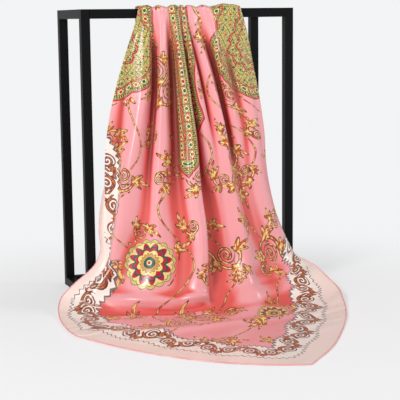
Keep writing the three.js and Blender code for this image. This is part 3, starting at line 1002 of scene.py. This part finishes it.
def ornament_shapes(s, v):
    """How far inside the medallions and ribbons a place lies, and how far along their edge."""
    shapes = []
    for x, y, radius, lobes in MEDALLIONS:
        away, angle = polar(s - x, v - y)
        edge = abs((angle * lobes).do("SINE")) * LOBE_DEPTH + (radius - LOBE_DEPTH)
        shapes.append((edge - away, angle * radius))
    for x, half, end in RIBBONS:
        across = abs(s - x)
        shapes.append(((half - across).least((v - end - across) * 0.7), v))
    inside, along = shapes[0]
    for other_inside, other_along in shapes[1:]:
        other = other_inside.do("GREATER_THAN", inside)
        inside, along = inside.most(other_inside), along + (other_along - along) * other
    return inside, along


def paint_sprays(paint, tree, s, v, free):
    """Gilt leaf sprays and long stems, outlined in olive, where the cloth is free."""
    large, large_cut = drawn(LARGE_SPRAY, *cell_of(tree, s, v, *LARGE_CELLS), SPRAY_SCALE)
    small, small_cut = drawn(SMALL_SPRAY, *cell_of(tree, s, v, *SMALL_CELLS), SPRAY_SCALE)
    sway = (v * (2 * math.pi / STEM_TURN)).do("SINE") * STEM_SWAY
    stem = abs(steps(s + sway, STEM_SPACING)[0]) * 0.8
    gilt = shaded(tree, "field", 6, 0.4, 5, GOLD, ORANGE)
    aside = (3 - large).filled() * free
    for distance, mask, colour in (
        (stem - 1.4, aside, OLIVE),
        (stem - 0.7, aside, gilt),
        (small - 1.3, aside, OLIVE),
        (small_cut, aside, gilt),
        (large - 1.5, free, OLIVE),
        (large_cut, free, gilt),
    ):
        paint.lay(distance.filled() * mask, colour)


def paint_field_and_shade(tree, s, v):
    """The print's field: sprays on pink, under medallions, ribbons and rosettes; painted shade in the
    folds.
    """
    stray = strayed(tree, "field", *FIELD_WAVER)
    s, v = s + stray, v - stray
    inside, along = ornament_shapes(s, v)
    clear = 0 - inside
    for x, y, radius in ROSETTES:
        clear = clear.least(polar(s - x, v - y)[0] - radius)
    depth = depth_of(tree)
    paint = Paint(tree, PINK)
    # Painted shade: the pink turns coral in the hollows of the folds
    paint.lay(depth.least(0.9), PAINTED_SHADE_CORAL)
    paint_sprays(paint, tree, s, v, (4 - clear).filled())
    paint_ornament(paint, tree, along, inside, s, v)
    for x, y, radius in ROSETTES:
        paint_rosette(paint, s - x, v - y, radius)
    # Painted shade: the deepest hollows turn maroon, over the whole print
    return paint.lay(((depth - 0.88) * 1.2).clamped(), PAINTED_SHADE_MAROON)


def paint_border(paint, tree, e, d):
    """The border: a plain margin and a band of scrolls between two toothed lines."""
    lobes = ((e * (2 * math.pi / LOBE_SPACING)).do("COSINE") + 1) * (LOBE_HEIGHT / 2)
    d = d + strayed(tree, "border", *BORDER_WAVER)
    teeth = abs((e / TOOTH).do("FRACT") - 0.5) * TOOTH
    outer = d - MARGIN - lobes * 0.6 + teeth
    inner = d - BAND_END - lobes + teeth
    outer_line = (abs(outer) * 0.75 - 0.8).filled()
    inner_line = (abs(inner) * 0.75 - 1.1).filled()
    paint.lay((inner - 1).filled(), CREAM)
    paint.lay(outer.filled(), PEACH)
    paint.lay(outer_line.most(inner_line), SLATE)
    x, count = steps(e, SCROLL_SPACING)
    y = (d - (MARGIN + BAND_END) / 2 - lobes * 0.8) * (is_odd(count) * 2 - 1)
    x, y = (value * (SCROLL_DRAWN / SCROLL_SPACING) for value in (x, y))
    wave = (x * (math.pi / SCROLL_DRAWN)).do("COSINE") * STEM_RISE - 4
    stem = abs(y - wave) * 0.8 - 0.8
    plain, cut = drawn(SCROLL, x, y)
    band = (3 - outer).filled() * (inner + 3).filled()
    paint.lay((plain.least(stem) - 1.1).filled() * band, BROWN)
    fire = shaded(tree, "border", 5, 0.5, 6, AMBER, RUST)
    paint.lay(cut.least(stem).filled() * band, fire)


def make_print_and_shade():
    """The print, and the painted shade in its folds, as a node group with one colour."""
    tree = bpy.data.node_groups.new("scarf_print_and_shade", "ShaderNodeTree")
    tree.interface.new_socket("Colour", in_out="OUTPUT", socket_type="NodeSocketColor")
    paint = paint_field_and_shade(tree, *map_of(tree, "field"))
    paint_border(paint, tree, *map_of(tree, "border"))
    result = tree.nodes.new("NodeGroupOutput")
    tree.links.new(paint.colour, result.inputs["Colour"])
    return tree


# Materials, with the sizes of noise in millimetres on the satin and in metres elsewhere
WEAVE_SIZE = 0.9
CREASING_SIZE = 14
DULLER_IN_HOLLOWS = 0.3
THREAD_PATCHES = (0.03, 1, 0.7, PEACH)  # size, detail, share and colour
THREAD_GRAIN = (0.0012, 0.4, 0.0003)  # size, strength and height
COAT_PATCHES = (0.05, 2, 0.6, WORN_BLACK)
COAT_GRAIN = (0.0016, 0.25, 0.0002)


def new_material(name, roughness):
    """A material with its tree and shader."""
    material = bpy.data.materials.new(name)
    material.use_nodes = True
    shader = material.node_tree.nodes["Principled BSDF"]
    shader.inputs["Roughness"].default_value = roughness
    return material, material.node_tree, shader


def add_bump(tree, shader, height, strength, distance):
    bump = tree.nodes.new("ShaderNodeBump")
    bump.inputs["Strength"].default_value = strength
    bump.inputs["Distance"].default_value = distance
    tree.links.new(height.socket, bump.inputs["Height"])
    tree.links.new(bump.outputs["Normal"], shader.inputs["Normal"])


def satin_material(name, print_and_shade_group, paled, roughness, sheen):
    """Printed satin; paled is how far the print has gone paler, as on the back."""
    material, tree, shader = new_material(name, roughness)
    group = tree.nodes.new("ShaderNodeGroup")
    group.node_tree = print_and_shade_group
    weave = noise_of(tree, uv_socket(tree, "field"), WEAVE_SIZE, 1)
    paint = Paint(tree, group.outputs["Colour"])
    if paled:
        paint.lay(weave * 0.2 + (paled - 0.1), PEACH)
    tree.links.new(paint.colour, shader.inputs["Base Color"])
    dull = depth_of(tree).least(1) * DULLER_IN_HOLLOWS + roughness
    tree.links.new(dull.socket, shader.inputs["Roughness"])
    shader.inputs["Sheen Weight"].default_value = sheen
    shader.inputs["Sheen Roughness"].default_value = 0.4
    shader.inputs["Sheen Tint"].default_value = (1.0, 0.86, 0.88, 1)
    creasing = noise_of(tree, uv_socket(tree, "field"), CREASING_SIZE, 2)
    add_bump(tree, shader, weave * 0.06 + creasing, 0.3, 0.0006)
    return material


def grained(name, roughness, colour, patches, grain):
    """A material with soft patches of another colour and a fine grain."""
    material, tree, shader = new_material(name, roughness)
    place = tree.nodes.new("ShaderNodeTexCoord").outputs["Object"]
    patch_size, detail, share, patch_colour = patches
    mask = noise_of(tree, place, patch_size, detail) * share
    tree.links.new(Paint(tree, colour).lay(mask, patch_colour).colour, shader.inputs["Base Color"])
    grain_size, strength, height = grain
    add_bump(tree, shader, noise_of(tree, place, grain_size, 2), strength, height)
    return material, shader


def thread_material(name, colour, roughness):
    """Pink hem or thread with a fine twist."""
    material, shader = grained(name, roughness, colour, THREAD_PATCHES, THREAD_GRAIN)
    shader.inputs["Sheen Weight"].default_value = 0.3
    return material


def powder_coat():
    """Black powder coat with a slight orange peel."""
    material, shader = grained("powder_coat", 0.5, BLACK, COAT_PATCHES, COAT_GRAIN)
    shader.inputs["Specular IOR Level"].default_value = 0.14
    return material


# Painted shade: how the print's colour turns coral and maroon in the folds, by the run down the cloth
PAINTED_SHADE_FROM = (60, 210)  # the painted coral shade in the hollows starts from here down
DARKER_SHADE_UNTIL = (330, 440)  # and only above this is the painted shade of the deepest ones darker still, in maroon
DARKEST_SHADE = 0.6
RIDGES_TOO = 0.1  # how far the painted coral shade and the duller satin reach out of the hollows
DEPTH_SCALES = [(7, 3), (18, 9)]  # columns to each side, and the depth that counts as full
ROLLS_FROM = (540, 570)  # the troughs between the rolls near the floor get the painted coral shade too
ROLLS_UNTIL = (620, 680)
ROLL_SCALE = (3, 3)  # rows to each side, and the depth that counts as full


def hollowness(grid, out, scale, axis):
    """How far each place lies behind the middle of its neighbours, as a share of a full depth."""
    reach, full = scale
    pads = [(reach, reach) if k == axis else (0, 0) for k in range(3)]
    padded = np.pad(grid, pads, mode="edge")
    count = np.arange(grid.shape[axis])
    middle = (np.take(padded, count, axis) + np.take(padded, count + 2 * reach, axis)) / 2
    return ((middle - grid) * out).sum(-1) / full


def fold_depth(grid, out, runs):
    """From 0 on the ridges to 1 in the hollows, and more in the deepest: the mask of the painted
    shade.
    """
    depth = sum(hollowness(grid, out, scale, 1) for scale in DEPTH_SCALES) / len(DEPTH_SCALES)
    near_floor = (ease(runs, *ROLLS_FROM) * (1 - ease(runs, *ROLLS_UNTIL)))[:, None]
    depth += np.maximum(0, hollowness(grid, out, ROLL_SCALE, 0)) * near_floor
    most = 1 + DARKEST_SHADE * (1 - ease(runs, *DARKER_SHADE_UNTIL))[:, None]
    return np.clip((depth + RIDGES_TOO) * ease(runs, *PAINTED_SHADE_FROM)[:, None], 0, most)


# The scene
make_camera()
make_stage()
grid, out, runs, hidden = make_cloth()
scarf = make_scarf(grid, out, runs, hidden)
# How deep in the folds each place lies: the mask of the painted shade, and of the duller satin
depth = scarf.data.attributes.new("depth", "FLOAT", "POINT")
depth.data.foreach_set("value", np.tile(fold_depth(grid, out, runs).reshape(-1), 2))
print_and_shade_group = make_print_and_shade()
scarf.data.materials.append(satin_material("satin", print_and_shade_group, 0, 0.28, 0.12))
scarf.data.materials.append(satin_material("satin_back", print_and_shade_group, 0.35, 0.5, 0.15))
hem, centres, outs, ins, along = make_hem(grid, out)
hem.data.materials.append(thread_material("hem_roll", HEM_PINK, 0.5))
stitches = make_stitches(centres, outs, ins, along)
stitches.data.materials.append(thread_material("thread", THREAD_PINK, 0.6))
for piece, slot in ((scarf, "satin"), (hem, "hem"), (stitches, "hem")):
    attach(piece, "root")
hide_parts("scarf_tail", "scarf_over_rail", "scarf_fall", "scarf_apron")
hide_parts("hem_left", "hem_right", "hem_front", "hem_back")
coat = powder_coat()
for name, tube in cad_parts.items():
    if name.startswith(("post", "rail")):
        tube.data.materials.clear()
        tube.data.materials.append(coat)
